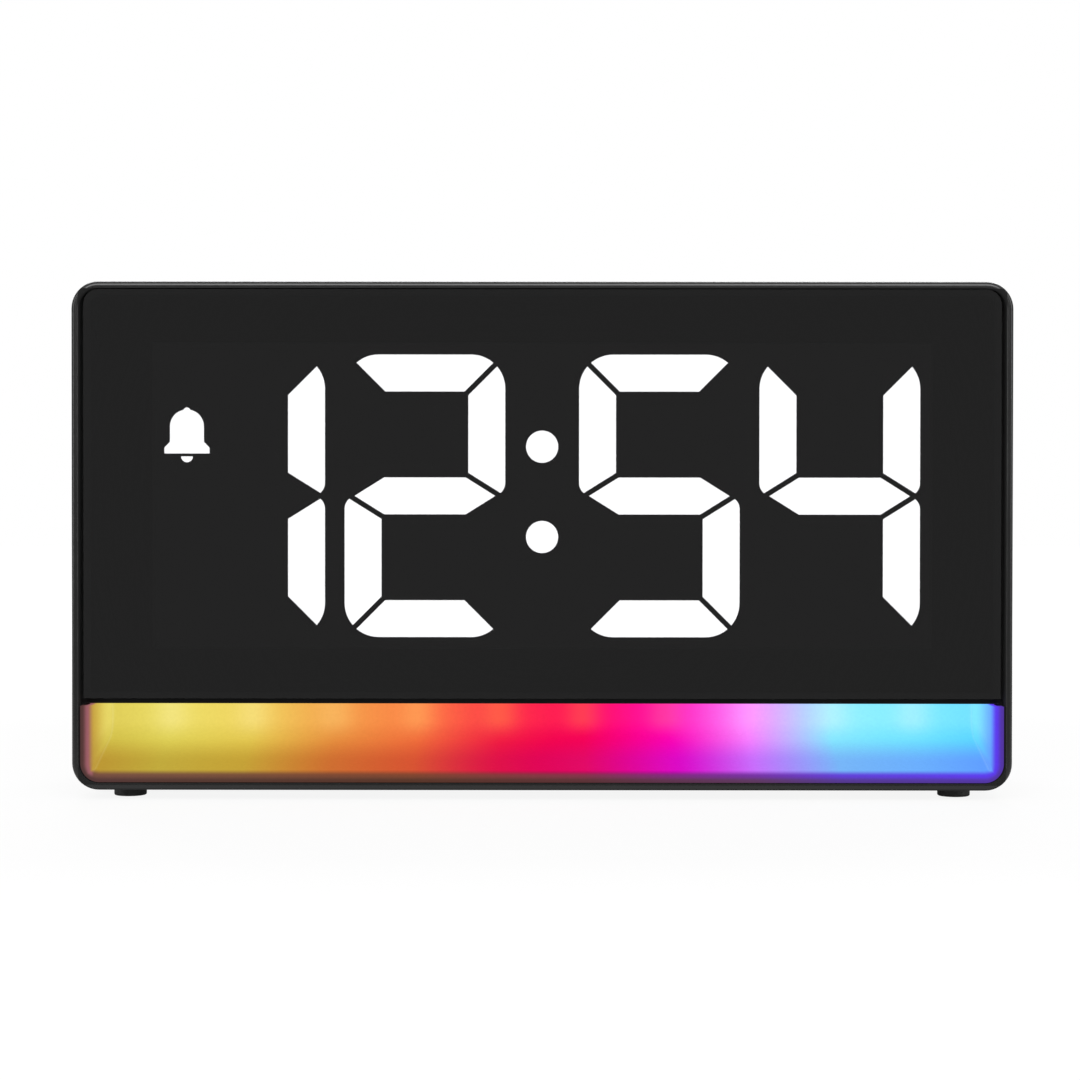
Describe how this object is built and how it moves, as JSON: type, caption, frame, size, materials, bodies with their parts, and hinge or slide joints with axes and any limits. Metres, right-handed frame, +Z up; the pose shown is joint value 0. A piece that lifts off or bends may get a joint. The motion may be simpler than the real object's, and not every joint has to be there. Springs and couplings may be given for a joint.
{
  "type": "mood light alarm clock",
  "caption": "Flat black digital alarm clock with a smoked lens, large white digits, a rainbow glow recess below, snooze bar on top and controls behind",
  "frame": {"origin": "on the table, under the middle of the casing", "axes": "X runs right seen from the front, Y towards the back, Z up"},
  "size_m": [0.16, 0.045, 0.089],
  "materials": {
    "casing_black": "fine-grained black satin",
    "lens_smoke": "clear smoked acrylic, polished",
    "tape_black": "black adhesive tape",
    "diffuser_white": "translucent white, lit in colour from above",
    "led_white": "white LED package with yellow filling",
    "reflector_black": "matt black",
    "resin_lit": "frosted resin, lit white",
    "resin_dark": "frosted resin, unlit",
    "board_green": "green solder mask",
    "board_white": "white solder mask",
    "ribbon_white": "flat ribbon",
    "socket_cream": "cream connector plastic",
    "chip_black": "black moulded packages",
    "can_steel": "nickel-plated steel",
    "pin_brass": "gold-plated pins",
    "screw_black": "black zinc-plated screws",
    "screw_steel": "zinc-plated screws",
    "rubber_black": "black rubber",
    "button_black": "dark satin caps",
    "plunger_cream": "cream plungers",
    "slider_white": "pale grey slider"
  },
  "bodies": {
    "clock": {"front_casing": "casing_black", "rear_cover": "casing_black", "display_lens": "lens_smoke", "lens_tape": "tape_black", "light_diffuser": "diffuser_white", "light_board": "board_white", "light_leds": "led_white", "light_pins": "pin_brass", "display_reflector": "reflector_black", "lit_segments": "resin_lit", "dark_segments": "resin_dark", "display_leds": "led_white", "display_board": "board_green", "display_ribbon": "ribbon_white", "ribbon_sockets": "socket_cream", "control_board": "board_green", "controller_chip": "chip_black", "quartz_crystal": "can_steel", "filter_capacitor": "chip_black", "switch_cases": "chip_black", "slide_switch_case": "can_steel", "power_socket_shell": "can_steel", "power_socket_tongue": "chip_black", "sounder": "chip_black", "backup_cell": "can_steel", "cell_contact_plus": "can_steel", "cell_contact_minus": "can_steel", "case_screws": "screw_black", "board_screws": "screw_steel", "foot_front_left": "rubber_black", "foot_front_right": "rubber_black", "foot_rear_left": "rubber_black", "foot_rear_right": "rubber_black"},
    "snooze": {"snooze_bar": "button_black", "snooze_plunger": "plunger_cream"},
    "time_key": {"time_button": "button_black", "time_plunger": "plunger_cream"},
    "alarm_key": {"alarm_button": "button_black", "alarm_plunger": "plunger_cream"},
    "up_key": {"up_button": "button_black", "up_plunger": "plunger_cream"},
    "down_key": {"down_button": "button_black", "down_plunger": "plunger_cream"},
    "light_key": {"light_button": "button_black", "light_plunger": "plunger_cream"},
    "alarm_switch": {"alarm_slider": "slider_white"},
    "cell_door": {"battery_door": "casing_black"}
  },
  "joints": [
    {"name": "snooze_press", "type": "slide", "parent": "clock", "child": "snooze", "axis": [0, 0, -1], "range_m": [0, 0.0006], "stiffness_N_per_m": 1200, "springref_m": -0.0008},
    {"name": "time_press", "type": "slide", "parent": "clock", "child": "time_key", "axis": [0, -1, 0], "range_m": [0, 0.0006], "stiffness_N_per_m": 1000, "springref_m": -0.0006},
    {"name": "alarm_press", "type": "slide", "parent": "clock", "child": "alarm_key", "axis": [0, -1, 0], "range_m": [0, 0.0006], "stiffness_N_per_m": 1000, "springref_m": -0.0006},
    {"name": "up_press", "type": "slide", "parent": "clock", "child": "up_key", "axis": [0, -1, 0], "range_m": [0, 0.0006], "stiffness_N_per_m": 1000, "springref_m": -0.0006},
    {"name": "down_press", "type": "slide", "parent": "clock", "child": "down_key", "axis": [0, -1, 0], "range_m": [0, 0.0006], "stiffness_N_per_m": 1000, "springref_m": -0.0006},
    {"name": "light_press", "type": "slide", "parent": "clock", "child": "light_key", "axis": [0, -1, 0], "range_m": [0, 0.0006], "stiffness_N_per_m": 1000, "springref_m": -0.0006},
    {"name": "alarm_slide", "type": "slide", "parent": "clock", "child": "alarm_switch", "axis": [1, 0, 0], "range_m": [0, 0.003]},
    {"name": "cell_door_turn", "type": "hinge", "parent": "clock", "child": "cell_door", "pos_m": [0.042, 0.0192, 0.0338], "axis": [0, 1, 0], "range_deg": [0, 60]}
  ]
}
